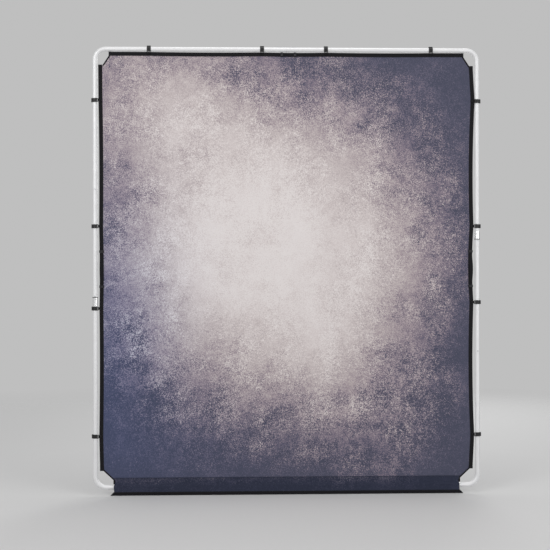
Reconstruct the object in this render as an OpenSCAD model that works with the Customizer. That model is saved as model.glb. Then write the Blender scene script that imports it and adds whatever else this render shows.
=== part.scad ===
// Collapsible backdrop panel: a round tube frame in two halves, hinged at the top and bottom
// centre, with side joints that pull apart, and a printed cover held on by clips.
// The origin is on the floor, under the middle of the frame, in the plane of the tube centres.
// +Z is up and the printed face looks along -Y.

/* [Frame] */
// Outside width of the tube frame
frame_w = 2000; // [1600:10:2400]
// Outside height of the tube frame
frame_h = 2278; // [1900:2:2730]
// Outside diameter of the frame tube
tube_d = 25; // [20:0.5:30]
// Wall of the frame tube
tube_wall = 1.5; // [1.2:0.1:2]
// Centreline radius of the corner bends
bend_r = 55; // [46:1:66]
// Gap between the two halves where they meet
butt_gap = 0.2; // [0.1:0.1:1]

/* [Side joints] */
// Upper joint of the left side, above the middle of the height
left_high_joint = 385; // [320:1:462]
// Lower joint of the left side, below the middle of the height
left_low_joint = 158; // [132:1:190]
// Upper joint of the right side, above the middle of the height
right_high_joint = 156; // [130:1:188]
// Lower joint of the right side, below the middle of the height
right_low_joint = 412; // [343:1:494]
// Length of the inner spigot tubes
spigot_l = 120; // [110:1:150]
// Wall of the inner spigot tubes
spigot_wall = 1.5; // [1.2:0.1:1.8]
// Radial clearance of a spigot in the frame tube
spigot_fit = 0.05; // [0.02:0.01:0.1]
// Diameter of the snap buttons
button_d = 8; // [6.5:0.1:9]
// How far a snap button stands out of the tube
button_proud = 2.3; // [1.5:0.1:3]
// Distance of a plain joint's button from its joint line
button_offset = 20; // [16:1:26]
// Length of the bright collars
collar_l = 40; // [32:1:48]
// Wall of the bright collars
collar_wall = 1.4; // [1:0.1:2]
// Length of a collar that passes its joint line
collar_lap = 6; // [4:0.5:8]
// Gap between a collar's ring and the button beside it
button_clear = 1; // [0.6:0.1:1.6]
// Length of the dark rings at the collar mouths
ring_l = 3.5; // [2.5:0.1:5]
// How much further a ring stands out than its collar
ring_step = 0.4; // [0.2:0.1:0.8]
// Strip thickness of the button springs
spring_t = 0.6; // [0.4:0.1:0.8]
// Strip width of the button springs
spring_w = 8; // [6:0.5:9]
// Length of the button springs below the button
spring_l = 42; // [34:1:44]

/* [Centre hinges] */
// Length of a hinge leaf along the tube
leaf_l = 60; // [50:1:75]
// Thickness of a hinge leaf
leaf_t = 2; // [1.5:0.1:2.5]
// Outside diameter of the hinge knuckles
knuckle_d = 9; // [8:0.1:11]
// Height of one hinge knuckle
knuckle_h = 6.4; // [5.5:0.1:7.5]
// Gap between the knuckles and the back of the tube
knuckle_off = 1; // [0.6:0.1:2]
// Diameter of the hinge pins
pin_d = 4; // [3:0.1:4.8]
// Diameter of the rivet shanks
rivet_d = 4; // [3:0.1:4.8]
// Distance of the inner rivets from the near end of the leaf
inner_rivet = 17; // [14:0.5:20]
// Distance of the outer rivets from the far end of the leaf
outer_rivet = 9; // [7:0.5:11]
// Length of the end plugs inside the tube
plug_l = 12; // [9:0.5:14]
// Length of the locating cone on the left plugs
cone_l = 6; // [4:0.5:7]

/* [Cover] */
// Gap between the side tubes and the border
side_gap = 9; // [6:0.5:14]
// Gap between the top tube and the border
top_gap = 3; // [2:0.5:6]
// Gap between the bottom tube and the border
bottom_gap = 5; // [4:0.5:8]
// Thickness of the printed fabric
cover_t = 0.6; // [0.4:0.1:1]
// How far the printed face lies behind the front of the tube
cover_setback = 2.5; // [2:0.1:3]
// Width of the webbing border
border_w = 20.5; // [16:0.5:25]
// Thickness of the webbing border
border_t = 1.2; // [0.8:0.1:1.6]
// Width of the cut at the top corners
top_cut_w = 51; // [42:1:62]
// Height of the cut at the top corners
top_cut_h = 67; // [55:1:80]
// Width of the cut at the bottom corners
bottom_cut_w = 72; // [60:1:86]
// Height of the cut at the bottom corners
bottom_cut_h = 69; // [57:1:82]
// Width of the binding on the cut corners
binding_w = 6; // [4:0.5:8]
// Length of the side pull loops
side_loop_l = 200; // [160:1:240]
// How far below the middle of the height the side pull loops sit
side_loop_drop = 5; // [0:1:10]
// Length of the top pull loop
top_loop_l = 86; // [70:1:104]
// Sideways offset of the top pull loop
top_loop_x = 8; // [0:1:12]
// Thickness of the pull loops
loop_t = 1.4; // [1:0.1:2]

/* [Skirt] */
// Height of the skirt's seam above the lower edge of the cover
seam_rise = 32; // [26:1:40]
// Distance of the skirt's ends from the sides of the cover
skirt_inset = 74; // [62:1:88]
// Thickness of the skirt
skirt_t = 1; // [0.6:0.1:1.4]
// How far the skirt's foot lies in front of the tube
skirt_reach = 13; // [8:1:18]
// How far the skirt's foot hangs below the frame
skirt_drop = 25.5; // [21:0.5:30.5]
// Height of the skirt's foot above the floor
hem_rise = 2; // [1:0.5:5]
// Height of the black hem
hem_h = 23; // [18:1:30]
// Thickness of the black hem
hem_t = 1.2; // [0.8:0.1:1.6]
// How far each end of the hem passes the skirt
hem_past = 17; // [12:1:22]

/* [Clips] */
// Width of a clip along the tube
clip_w = 20; // [16:0.5:24]
// Wall of a clip
clip_wall = 2.7; // [2.2:0.1:3]
// How far a clip's grip stands out past the tube
grip_reach = 5.5; // [4.5:0.1:6.6]
// Width of the clip straps
strap_w = 14; // [11:0.5:16]
// Thickness of the clip straps
strap_t = 1.1; // [0.8:0.1:1.3]
// Length of a strap's tail on the border
strap_tail = 15; // [12:0.5:18]
// Outer top clip on the left, from the left end of the frame
top_left_clip = 290; // [240:1:350]
// Inner top clip on the left, from the middle
top_inner_left_clip = 128; // [106:1:154]
// Inner top clip on the right, from the middle
top_inner_right_clip = 202; // [168:1:243]
// Outer top clip on the right, from the right end of the frame
top_right_clip = 254; // [210:1:305]
// Highest side clips, from the top of the frame
high_side_clip = 276; // [230:1:332]
// Left side clip above the middle, from the middle
upper_left_clip = 215; // [180:1:258]
// Right side clip above the middle, from the end of the collar that it sits over
over_collar_clip = 25; // [21:0.5:30]
// Left side clip below the middle, from the end of the collar that it sits under
under_collar_clip = 15; // [13:0.5:18]
// Right side clip below the middle, from the middle
lower_right_clip = 179; // [150:1:215]
// Lowest side clips, from the bottom of the frame
low_side_clip = 275; // [230:1:330]
// Height of the grip on a clip's outboard side
grip_h = 12; // [9:0.5:14]

/* [Hidden] */
$fn = 64;

alu = [0.9, 0.9, 0.91];
steel = [0.72, 0.73, 0.75];
black = [0.08, 0.08, 0.09];
print = [0.55, 0.52, 0.57];
dark_print = [0.28, 0.28, 0.35];

// Hair gap between pieces that touch, and the running clearance of pins and buttons
seat = 0.05;
cut = 1;                     // how far a cutter passes the face it cuts

tube_r = tube_d / 2;
bore_r = tube_r - tube_wall;
side_x = frame_w / 2 - tube_r;
foot = hem_rise + skirt_drop;    // underside of the frame
bottom_z = foot + tube_r;
top_z = foot + frame_h - tube_r;
mid_z = foot + frame_h / 2;
mirror_z = 2 * mid_z;
end_x = butt_gap / 2;        // where each half stops short of the middle

spigot_r = bore_r - spigot_fit;
spigot_bore_r = spigot_r - spigot_wall;
button_r = button_d / 2;
flange_rim = 1.5;
flange_r = button_r + flange_rim;
flange_t = 1.2;
bore_fit = 0.3;              // of flanges, springs and cones where they lie in a round bore
flange_y = -sqrt(spigot_bore_r ^ 2 - flange_r ^ 2) + bore_fit;
collar_button_offset = collar_lap + ring_l + button_r + button_clear;
// heights of the joint lines, of the lower ends of the collars and of the buttons
left_high_z = mid_z + left_high_joint;
left_low_z = mid_z - left_low_joint;
right_high_z = mid_z + right_high_joint;
right_low_z = mid_z - right_low_joint;
left_collar_z = left_low_z + collar_lap - collar_l;
right_collar_z = right_high_z - collar_lap;
left_high_button_z = left_high_z + button_offset;
left_low_button_z = left_low_z + collar_button_offset;
right_high_button_z = right_high_z - collar_button_offset;
right_low_button_z = right_low_z - button_offset;

// hinge: the fold axis lies behind the tube, behind everything else on the frame
knuckle_r = knuckle_d / 2;
knuckle_gap = 0.2;
fold_y = tube_r + knuckle_off + knuckle_r;
leaf_clear = 0.7;            // between a knuckle and the other half's leaf
leaf_start = knuckle_r + leaf_clear;
web_l = 4;
web_root = 4;                // how deep a web sits in its leaf
web_end = leaf_start + web_l;
saddle_back = 12;            // angles where a leaf starts behind the tube and ends in front
saddle_front = 40;
leaf_r = tube_r + seat;      // inside of a leaf or a collar on the tube
rivet_r = rivet_d / 2;
rivet_rim = 1.4;
rivet_tail_h = 1;
rivet_head_h = 1.3;
rivet_head_r = rivet_r + rivet_rim;
rivet_xs = [leaf_start + inner_rivet, leaf_l - outer_rivet];
pin_rim = 1;
pin_head_h = 1.2;
pin_end_gap = 0.1;
plug_r = bore_r - seat;
cone_base_r = 5;
cone_tip_r = 3;
cone_end_gap = 0.5;

// cover: its printed face lies a little behind the front of the tube
cover_y = cover_setback - tube_r;
border_y = cover_y - border_t;
cover_x = frame_w / 2 - tube_d - side_gap;
cover_top = foot + frame_h - tube_d - top_gap;
cover_bottom = foot + tube_d + bottom_gap;
seam_z = cover_bottom + seam_rise;
skirt_x = cover_x - skirt_inset;

// clips
clip_r = leaf_r + clip_wall;
rib_r = 1.2;
rib_sink = 0.3;
rib_angles = [40, 68, 96];
grip_root = 1.5;             // how deep the grip sits in the clip
hook_from = 118;             // angle where the clip's front starts, inboard of straight ahead
hook_to = 245;               // angle where its hook ends, behind the tube
strap_y = -border_y + seat;  // back of the strap, in front of the border
tongue_y = strap_y + strap_t + seat;
tongue_t = 2.2;
tongue_l = 6;                // how far the tongue passes the inboard side of the tube
tongue_root = 4;             // where the tongue ends, inside the clip
bar_w = 1.5;
slot_w = 2.8;
slot_fit = 0.5;              // between a strap's edge and the end of its slot
tail_t = 1.5 * strap_t;
tongue_end = tube_r + tongue_l;

// where the clips sit
top_clips_left_x = [-frame_w / 2 + top_left_clip, -top_inner_left_clip];
top_clips_right_x = [top_inner_right_clip, frame_w / 2 - top_right_clip];
left_clips_z = [foot + frame_h - high_side_clip, mid_z + upper_left_clip,
                left_collar_z - under_collar_clip, foot + low_side_clip];
right_clips_z = [foot + frame_h - high_side_clip, right_collar_z + collar_l + over_collar_clip,
                 mid_z - lower_right_clip, foot + low_side_clip];
bottom_clips_x = [top_inner_right_clip, frame_w / 2 - top_left_clip];

// ---------------------------------------------------------------- placing

// A clip's own frame has the tube along Z, +X outboard and +Y to the front.
module at_top(x) translate([x, 0, top_z]) rotate([90, 0, 0]) rotate([90, 0, 90]) children();
module at_bottom(x) translate([x, 0, bottom_z]) mirror([0, 0, 1])
    rotate([90, 0, 0]) rotate([90, 0, 90]) children();
module at_left(z) translate([-side_x, 0, z]) rotate([0, 0, 180]) children();
module at_right(z) mirror([1, 0, 0]) at_left(z) children();
module left() mirror([1, 0, 0]) children();

// A flat shape drawn in X and Z, standing between two depths, the nearer one first
module upright(front, back) translate([0, back, 0]) rotate([90, 0, 0])
    linear_extrude(back - front) children();
// A section drawn in Y and Z, running along X between two places
module along_x(from, to) translate([from, 0, 0]) rotate([90, 0, 90])
    linear_extrude(to - from) children();

// ---------------------------------------------------------------- tubes

// The run of a corner tube of the upper right: level, round the bend and down to a height
module corner_run(r, end_z, past) {
    translate([end_x - past, 0, top_z]) rotate([0, 90, 0])
        cylinder(r = r, h = side_x - bend_r - end_x + past);
    translate([side_x - bend_r, 0, top_z - bend_r]) rotate([90, 0, 0])
        rotate_extrude(angle = 90) translate([bend_r, 0]) circle(r);
    translate([side_x, 0, end_z - past]) cylinder(r = r, h = top_z - bend_r - end_z + past);
}

module button_hole(z) translate([side_x, 0, z]) rotate([90, 0, 0])
    cylinder(r = button_r + seat, h = tube_r + cut);

module rivet_holes(z) for (x = rivet_xs) translate([x, 0, z])
    cylinder(r = rivet_r + seat, h = tube_r + cut);

module upper_tube(end_z, button_z = undef) color(alu) difference() {
    corner_run(tube_r, end_z, 0);
    corner_run(bore_r, end_z, cut);
    if (!is_undef(button_z)) button_hole(button_z);
    rivet_holes(top_z);
}

module lower_tube(end_z, button_z = undef) color(alu) difference() {
    translate([0, 0, mirror_z]) mirror([0, 0, 1]) corner_run(tube_r, mirror_z - end_z, 0);
    translate([0, 0, mirror_z]) mirror([0, 0, 1]) corner_run(bore_r, mirror_z - end_z, cut);
    if (!is_undef(button_z)) button_hole(button_z);
    rivet_holes(bottom_z);
}

module middle_tube(from_z, to_z, button_z) color(alu) difference() {
    translate([side_x, 0, from_z]) cylinder(r = tube_r, h = to_z - from_z);
    translate([side_x, 0, from_z - cut]) cylinder(r = bore_r, h = to_z - from_z + 2 * cut);
    button_hole(button_z);
}

module left_upper_tube() left() upper_tube(left_high_z + end_x, left_high_button_z);
module left_middle_tube() left() middle_tube(left_low_z + end_x, left_high_z - end_x, left_low_button_z);
module left_lower_tube() left() lower_tube(left_low_z - end_x);
module right_upper_tube() upper_tube(right_high_z + end_x);
module right_middle_tube() middle_tube(right_low_z + end_x, right_high_z - end_x, right_high_button_z);
module right_lower_tube() lower_tube(right_low_z - end_x, right_low_button_z);

// ---------------------------------------------------------------- side joints

module spigot(joint_z, button_z) color(steel) difference() {
    translate([side_x, 0, joint_z - spigot_l / 2]) cylinder(r = spigot_r, h = spigot_l);
    translate([side_x, 0, joint_z - spigot_l / 2 - cut])
        cylinder(r = spigot_bore_r, h = spigot_l + 2 * cut);
    button_hole(button_z);
}

module left_spigots() left() {
    spigot(left_high_z, left_high_button_z);
    spigot(left_low_z, left_low_button_z);
}

module right_spigots() {
    spigot(right_high_z, right_high_button_z);
    spigot(right_low_z, right_low_button_z);
}

// A sleeve of a length round the side tube, upwards from a height
module sleeve(from_z, l, wall) translate([side_x, 0, from_z]) difference() {
    cylinder(r = leaf_r + wall, h = l);
    translate([0, 0, -cut]) cylinder(r = leaf_r, h = l + 2 * cut);
}
module ring(from_z) color(black) sleeve(from_z, ring_l - seat, collar_wall + ring_step);

module left_collar() color(steel) left() sleeve(left_collar_z, collar_l, collar_wall);
module right_collar() color(steel) sleeve(right_collar_z, collar_l, collar_wall);
module left_collar_ring() left() ring(left_collar_z + collar_l + seat);
module right_collar_ring() ring(right_collar_z - ring_l);

// A snap button points out of the front of the tube; its flange stays behind the spigot's wall.
module snap_button(z) color(steel) translate([side_x, 0, z]) rotate([90, 0, 0]) {
    crown = 0.9;
    head = tube_r + button_proud;
    front = -flange_y;
    back = front - flange_t;
    rotate_extrude() polygon([[0, back], [flange_r, back], [flange_r, front], [button_r, front],
                              [button_r, head - crown], [button_r - crown, head], [0, head]]);
}

module left_high_button() left() snap_button(left_high_button_z);
module left_low_button() left() snap_button(left_low_button_z);
module right_high_button() snap_button(right_high_button_z);
module right_low_button() snap_button(right_low_button_z);

// Points on an arc in a section, round a centre
function turn(centre, r, angles) = [for (a = angles) centre + r * [cos(a), sin(a)]];

// The button's spring is a bent strip: one leg behind the flange, a turn, one leg on the far wall.
// It hangs below the button, or stands above it where way is 1.
module button_spring(z, way = 0) color(steel) translate([side_x, 0, z]) {
    front = flange_y + flange_t + bore_fit;
    wall_y = sqrt(spigot_bore_r ^ 2 - (spring_w / 2) ^ 2) - bore_fit;
    turn_r = 3.7;
    centre = [wall_y - turn_r, -spring_l];
    pad = 5;
    mirror([0, 0, way]) along_x(-spring_w / 2, spring_w / 2) polygon(concat(
        [[front, pad], [front, -pad]],
        turn(centre, turn_r, [180:15:360]),
        [[wall_y, pad], [wall_y - spring_t, pad]],
        turn(centre, turn_r - spring_t, [360:-15:180]),
        [[front + spring_t, -pad], [front + spring_t, pad]]
    ));
}

module left_high_spring() left() button_spring(left_high_button_z);
module left_low_spring() left() button_spring(left_low_button_z);
module right_high_spring() button_spring(right_high_button_z, 1);
module right_low_spring() button_spring(right_low_button_z, 1);

// ---------------------------------------------------------------- centre hinges

// A hinge leaf for the right half at a tube height: a saddle over the top and the back of the
// tube, with webs to its knuckles. levels gives the knuckles' heights from the tube's centre.
module hinge_leaf(z, levels) color(steel) translate([0, 0, z]) difference() {
    union() {
        along_x(leaf_start, leaf_l) difference() {
            circle(leaf_r + leaf_t);
            saddle_gap();
        }
        for (level = levels) translate([0, 0, level - knuckle_h / 2]) {
            translate([0, fold_y, 0]) cylinder(r = knuckle_r, h = knuckle_h);
            translate([0, leaf_r, 0]) cube([web_end, fold_y - leaf_r - seat, knuckle_h]);
            translate([leaf_start, leaf_r - web_root, 0]) cube([web_l, web_root + leaf_t / 4, knuckle_h]);
        }
    }
    along_x(-knuckle_d, leaf_l + cut) circle(leaf_r);
    translate([0, fold_y, -frame_h]) cylinder(r = pin_d / 2 + seat, h = 2 * frame_h);
    for (x = rivet_xs) translate([x, 0, 0]) cylinder(r = rivet_r + seat, h = tube_d);
}

// What the saddle leaves open: the front and the underside of the tube
module saddle_gap() {
    far = 2 * tube_d;
    polygon([[0, 0], [-far * sin(saddle_back), far * cos(saddle_back)], [-far, far], [-far, -far],
             [far * sin(saddle_front), -far], [far * cos(saddle_front), -far * sin(saddle_front)]]);
}

knuckle_pitch = knuckle_h + knuckle_gap;
module top_hinge_left_leaf() left() hinge_leaf(top_z, [-knuckle_pitch, knuckle_pitch]);
module top_hinge_right_leaf() hinge_leaf(top_z, [0]);
module bottom_hinge_left_leaf() left() hinge_leaf(bottom_z, [-knuckle_pitch, knuckle_pitch]);
module bottom_hinge_right_leaf() hinge_leaf(bottom_z, [0]);

module hinge_pin(z) color(steel) translate([0, fold_y, z]) {
    half = 1.5 * knuckle_pitch + pin_end_gap;
    end = half + pin_head_h;
    pin_r = pin_d / 2;
    head_r = pin_r + pin_rim;
    rotate_extrude() polygon([[0, -end], [head_r, -end], [head_r, -half], [pin_r, -half],
                              [pin_r, half], [head_r, half], [head_r, end], [0, end]]);
}

module top_hinge_pin() hinge_pin(top_z);
module bottom_hinge_pin() hinge_pin(bottom_z);

// A rivet through the leaf and the tube's upper wall, headed on both sides
module rivet(x, z) color(steel) translate([x, 0, z]) {
    top = leaf_r + leaf_t + seat;
    tail = sqrt(bore_r ^ 2 - rivet_head_r ^ 2) - seat;
    rotate_extrude() polygon([[0, tail - rivet_tail_h], [rivet_head_r, tail - rivet_tail_h],
                              [rivet_head_r, tail], [rivet_r, tail], [rivet_r, top],
                              [rivet_head_r, top], [rivet_r, top + rivet_head_h], [0, top + rivet_head_h]]);
}

module rivets() for (x = rivet_xs, z = [top_z, bottom_z]) rivet(x, z);
module left_rivets() left() rivets();
module right_rivets() rivets();

// Plugs close the tube ends in the middle; a cone on the left one seats in the right one.
module plug(z) translate([end_x, 0, z]) rotate([0, 90, 0]) cylinder(r = plug_r, h = plug_l);

module left_end_plugs() color(black) left() for (z = [top_z, bottom_z]) {
    plug(z);
    translate([end_x, 0, z]) rotate([0, -90, 0]) cylinder(r1 = cone_base_r, r2 = cone_tip_r, h = cone_l);
}

module right_end_plugs() color(black) for (z = [top_z, bottom_z]) difference() {
    plug(z);
    translate([-end_x, 0, z]) rotate([0, 90, 0])
        cylinder(r1 = cone_base_r + bore_fit, r2 = cone_tip_r + bore_fit, h = cone_l + cone_end_gap);
}

// ---------------------------------------------------------------- cover

// The cut at a corner of the cover's right half, as four points from one edge to the other.
// edge_z is the level edge's height and up is 1 where the cover lies above it.
function corner(edge_z, up, w, h) = [
    [cover_x - w, edge_z], [cover_x - w, edge_z + up * border_w],
    [cover_x - border_w, edge_z + up * h], [cover_x, edge_z + up * h]
];
function flip(points) = [for (i = [len(points) - 1:-1:0]) points[i]];
bottom_corner = corner(cover_bottom, 1, bottom_cut_w, bottom_cut_h);
top_corner = corner(cover_top, -1, top_cut_w, top_cut_h);

module cover() color(print) upright(cover_y, cover_y + cover_t)
    polygon(concat([[end_x, cover_bottom]], bottom_corner, flip(top_corner), [[end_x, cover_top]]));
module cover_left() left() cover();
module cover_right() cover();

module top_webbing() color(black) upright(border_y, cover_y)
    translate([end_x, cover_top - border_w]) square([cover_x - top_cut_w - end_x, border_w]);
module top_webbing_left() left() top_webbing();
module top_webbing_right() top_webbing();

module bottom_webbing() color(black) upright(border_y, cover_y)
    translate([end_x, cover_bottom]) square([cover_x - bottom_cut_w - end_x, border_w]);
module bottom_webbing_left() left() bottom_webbing();
module bottom_webbing_right() bottom_webbing();

module side_webbing() color(black) upright(border_y, cover_y)
    translate([cover_x - border_w, cover_bottom + bottom_cut_h])
        square([border_w, cover_top - top_cut_h - cover_bottom - bottom_cut_h]);
module left_webbing() left() side_webbing();
module right_webbing() side_webbing();

// A binding strip along the slanting part of a corner, on the cover's side of it
module binding(points) {
    a = points[1];
    b = points[2];
    run = (b - a) / norm(b - a);
    inward = (run[1] > 0 ? [-run[1], run[0]] : [run[1], -run[0]]) * binding_w;
    color(black) upright(border_y, cover_y) polygon([a, b, b + inward, a + inward]);
}

module corner_bindings() {
    binding(bottom_corner);
    binding(top_corner);
}
module left_corner_bindings() left() corner_bindings();
module right_corner_bindings() corner_bindings();

// Pull loops lie flat on the border and are sewn down at both ends.
loop_y = border_y - seat;
module side_loop() color(black) upright(loop_y - loop_t, loop_y)
    translate([cover_x - border_w, mid_z - side_loop_drop - side_loop_l / 2])
        square([border_w, side_loop_l]);
module left_pull_loop() left() side_loop();
module right_pull_loop() side_loop();

module top_loop(l) color(black) upright(loop_y - loop_t, loop_y)
    translate([end_x, cover_top - border_w]) square([l - end_x, border_w]);
module top_pull_loop_left() left() top_loop(top_loop_l / 2 - top_loop_x);
module top_pull_loop_right() top_loop(top_loop_l / 2 + top_loop_x);

// ---------------------------------------------------------------- skirt

// Back of the skirt, as depth and height from its seam, over the border and the clips, to its foot
skirt_y = -tube_r - skirt_reach;
seam_h = 5;
border_clear = 0.8;
clip_clear = 1.2;
skirt_back = [
    [border_y - seat, seam_z], [border_y - seat, seam_z - seam_h],
    [border_y - border_clear, cover_bottom + border_w],
    [-clip_r - rib_r - clip_clear, bottom_z + tongue_end + slot_w],
    [skirt_y + hem_t / 2, hem_rise + hem_h], [skirt_y, hem_rise]
];
function ahead(points, by) = [for (p = points) [p[0] - by, p[1]]];

module skirt() color(dark_print) along_x(end_x, skirt_x)
    polygon(concat(skirt_back, flip(ahead(skirt_back, skirt_t))));
module skirt_left() left() skirt();
module skirt_right() skirt();

module hem() {
    hem_back = ahead([skirt_back[4], skirt_back[5]], skirt_t + seat);
    color(black) along_x(end_x, skirt_x + hem_past)
        polygon(concat(hem_back, flip(ahead(hem_back, hem_t))));
}
module hem_left() left() hem();
module hem_right() hem();

// ---------------------------------------------------------------- clips

// Section of a clip: a hook round the tube from the front, over the outboard side, to the back,
// with ribs on its face, a grip outboard and a slotted tongue towards the cover
module clip() color(black) difference() {
    linear_extrude(clip_w, center = true) difference() {
        union() {
            difference() {
                circle(clip_r);
                clip_gap();
            }
            for (a = rib_angles) rotate(a) translate([clip_r - rib_sink, 0]) circle(rib_r, $fn = 24);
            translate([clip_r - grip_root, -grip_h / 2])
                square([tube_r + grip_reach - clip_r + grip_root, grip_h]);
            translate([-tongue_end, tongue_y]) square([tongue_end - tongue_root, tongue_t]);
        }
        circle(leaf_r);
    }
    // the strap's slot in the tongue
    translate([-tongue_end + bar_w, 0, -strap_w / 2 - slot_fit])
        cube([slot_w, 2 * tube_r, strap_w + 2 * slot_fit]);
}

module clip_gap() polygon(concat([[0, 0]], [for (a = [hook_from:(hook_to - hook_from) / 4:hook_to])
    2 * tube_d * [cos(a), sin(a)]]));

// The strap loops round the tongue's bar and lies on the border. reach is the distance from the
// tube's centre to the border's outer edge.
module strap(reach) color(black) linear_extrude(strap_w, center = true) {
    bar_in = tongue_end - bar_w - seat;
    bar_out = tongue_end + seat;
    difference() {
        translate([-bar_out - strap_t, strap_y])
            square([bar_out - bar_in + 2 * strap_t, tongue_t + 2 * strap_t + 2 * seat]);
        translate([-bar_out, tongue_y - seat]) square([bar_out - bar_in, tongue_t + 2 * seat]);
    }
    translate([-reach - strap_tail, strap_y])
        square([reach + strap_tail - bar_out - strap_t / 2, tail_t]);
}

module left_top_clips() for (x = top_clips_left_x) at_top(x) clip();
module right_top_clips() for (x = top_clips_right_x) at_top(x) clip();
module left_side_clips() for (z = left_clips_z) at_left(z) clip();
module right_side_clips() for (z = right_clips_z) at_right(z) clip();
module left_bottom_clips() for (x = bottom_clips_x) at_bottom(-x) clip();
module right_bottom_clips() for (x = bottom_clips_x) at_bottom(x) clip();

top_reach = tube_r + top_gap;
side_reach = tube_r + side_gap;
bottom_reach = tube_r + bottom_gap;

module left_clip_straps() {
    for (x = top_clips_left_x) at_top(x) strap(top_reach);
    for (z = left_clips_z) at_left(z) strap(side_reach);
    for (x = bottom_clips_x) at_bottom(-x) strap(bottom_reach);
}

module right_clip_straps() {
    for (x = top_clips_right_x) at_top(x) strap(top_reach);
    for (z = right_clips_z) at_right(z) strap(side_reach);
    for (x = bottom_clips_x) at_bottom(x) strap(bottom_reach);
}

left_upper_tube();
left_middle_tube();
left_lower_tube();
right_upper_tube();
right_middle_tube();
right_lower_tube();
left_spigots();
right_spigots();
left_collar();
right_collar();
left_collar_ring();
right_collar_ring();
left_high_button();
left_low_button();
right_high_button();
right_low_button();
left_high_spring();
left_low_spring();
right_high_spring();
right_low_spring();
top_hinge_left_leaf();
top_hinge_right_leaf();
bottom_hinge_left_leaf();
bottom_hinge_right_leaf();
top_hinge_pin();
bottom_hinge_pin();
left_rivets();
right_rivets();
left_end_plugs();
right_end_plugs();
cover_left();
cover_right();
skirt_left();
skirt_right();
hem_left();
hem_right();
top_webbing_left();
top_webbing_right();
left_webbing();
right_webbing();
bottom_webbing_left();
bottom_webbing_right();
left_corner_bindings();
right_corner_bindings();
left_top_clips();
right_top_clips();
left_side_clips();
right_side_clips();
left_bottom_clips();
right_bottom_clips();
left_clip_straps();
right_clip_straps();
left_pull_loop();
right_pull_loop();
top_pull_loop_left();
top_pull_loop_right();
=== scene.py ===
import math
import random

import bmesh
import bpy
import numpy as np
from mathutils import Euler, Matrix, Vector, noise


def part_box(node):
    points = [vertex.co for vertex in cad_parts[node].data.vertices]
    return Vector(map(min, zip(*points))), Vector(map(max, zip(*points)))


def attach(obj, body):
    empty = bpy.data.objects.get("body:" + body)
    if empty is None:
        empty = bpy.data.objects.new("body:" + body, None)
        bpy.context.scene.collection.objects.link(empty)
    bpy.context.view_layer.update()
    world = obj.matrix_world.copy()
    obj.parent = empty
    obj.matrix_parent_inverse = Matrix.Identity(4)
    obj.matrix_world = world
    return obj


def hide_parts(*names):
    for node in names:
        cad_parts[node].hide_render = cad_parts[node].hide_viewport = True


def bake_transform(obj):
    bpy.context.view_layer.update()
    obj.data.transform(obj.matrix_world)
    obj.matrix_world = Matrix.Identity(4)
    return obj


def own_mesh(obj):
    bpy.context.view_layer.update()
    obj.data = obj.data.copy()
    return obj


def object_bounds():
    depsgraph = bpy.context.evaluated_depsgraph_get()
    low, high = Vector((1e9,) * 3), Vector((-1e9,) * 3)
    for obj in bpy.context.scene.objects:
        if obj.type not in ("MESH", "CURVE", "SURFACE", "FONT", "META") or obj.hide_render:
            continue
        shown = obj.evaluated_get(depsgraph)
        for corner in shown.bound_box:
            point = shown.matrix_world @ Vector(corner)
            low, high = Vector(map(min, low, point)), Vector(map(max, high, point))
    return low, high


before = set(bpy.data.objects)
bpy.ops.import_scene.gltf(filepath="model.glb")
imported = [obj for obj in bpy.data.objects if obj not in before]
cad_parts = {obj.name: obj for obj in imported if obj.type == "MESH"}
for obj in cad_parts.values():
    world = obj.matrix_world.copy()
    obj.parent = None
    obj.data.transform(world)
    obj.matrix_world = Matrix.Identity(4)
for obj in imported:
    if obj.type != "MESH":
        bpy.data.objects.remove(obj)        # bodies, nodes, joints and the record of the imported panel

cadLow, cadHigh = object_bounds()
scene = bpy.context.scene
mm = 0.001
sides = (("left", -1), ("right", 1))


def addObject(name, data):
    obj = bpy.data.objects.new(name, data)
    scene.collection.objects.link(obj)
    return obj


# camera, light and floor

camera = dict(lens=76, distance=6.0, height=1.13, turn=2.46, aim=1.86, roll=-0.1)
light = dict(
    backdrop=0.52,       # grey of the room, as light
    aimHeight=1.1,
    key=dict(place=(-3.2, -4.6, 3.0), size=3.2, power=100),
    fill=dict(place=(3.6, -4.4, 1.9), size=3.2, power=70),
    top=dict(place=(0.3, -0.6, 5.2), size=2.6, power=40),
    back=dict(place=(1.6, 4.8, 2.8), size=3.0, power=90),
)
floor = dict(radius=7.0, rings=24, spokes=96, tone=0.64, fadeFrom=2.0, fadeTo=6.0)


def makeCamera():
    data = bpy.data.cameras.new("camera")
    data.lens = camera["lens"]
    obj = addObject("camera", data)
    turn, aim = math.radians(camera["turn"]), math.radians(camera["aim"])
    place = Vector((-math.sin(turn), -math.cos(turn), 0)) * camera["distance"]
    place.z = camera["height"]
    level = Euler((math.pi / 2, 0, -aim)).to_matrix()
    tilt = Matrix.Rotation(math.radians(camera["roll"]), 3, "Z")
    obj.matrix_world = Matrix.Translation(place) @ (level @ tilt).to_4x4()
    scene.camera = obj


def makeLights():
    scene.view_settings.view_transform = "Standard"
    world = bpy.data.worlds.new("room")
    world.use_nodes = True
    world.node_tree.nodes["Background"].inputs["Color"].default_value = (*[light["backdrop"]] * 3, 1)
    scene.world = world
    for name in ("key", "fill", "top", "back"):
        lamp = light[name]
        data = bpy.data.lights.new(name, "AREA")
        data.shape, data.size, data.energy = "DISK", lamp["size"], lamp["power"]
        obj = addObject(name, data)
        obj.location = lamp["place"]
        aimed = Vector((0, 0, light["aimHeight"])) - obj.location
        obj.rotation_euler = aimed.to_track_quat("-Z", "Y").to_euler()
        obj.visible_camera = False


# small tools for node materials

def newMaterial(name):
    mat = bpy.data.materials.new(name)
    mat.use_nodes = True
    return mat, mat.node_tree, mat.node_tree.nodes["Principled BSDF"]


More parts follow.
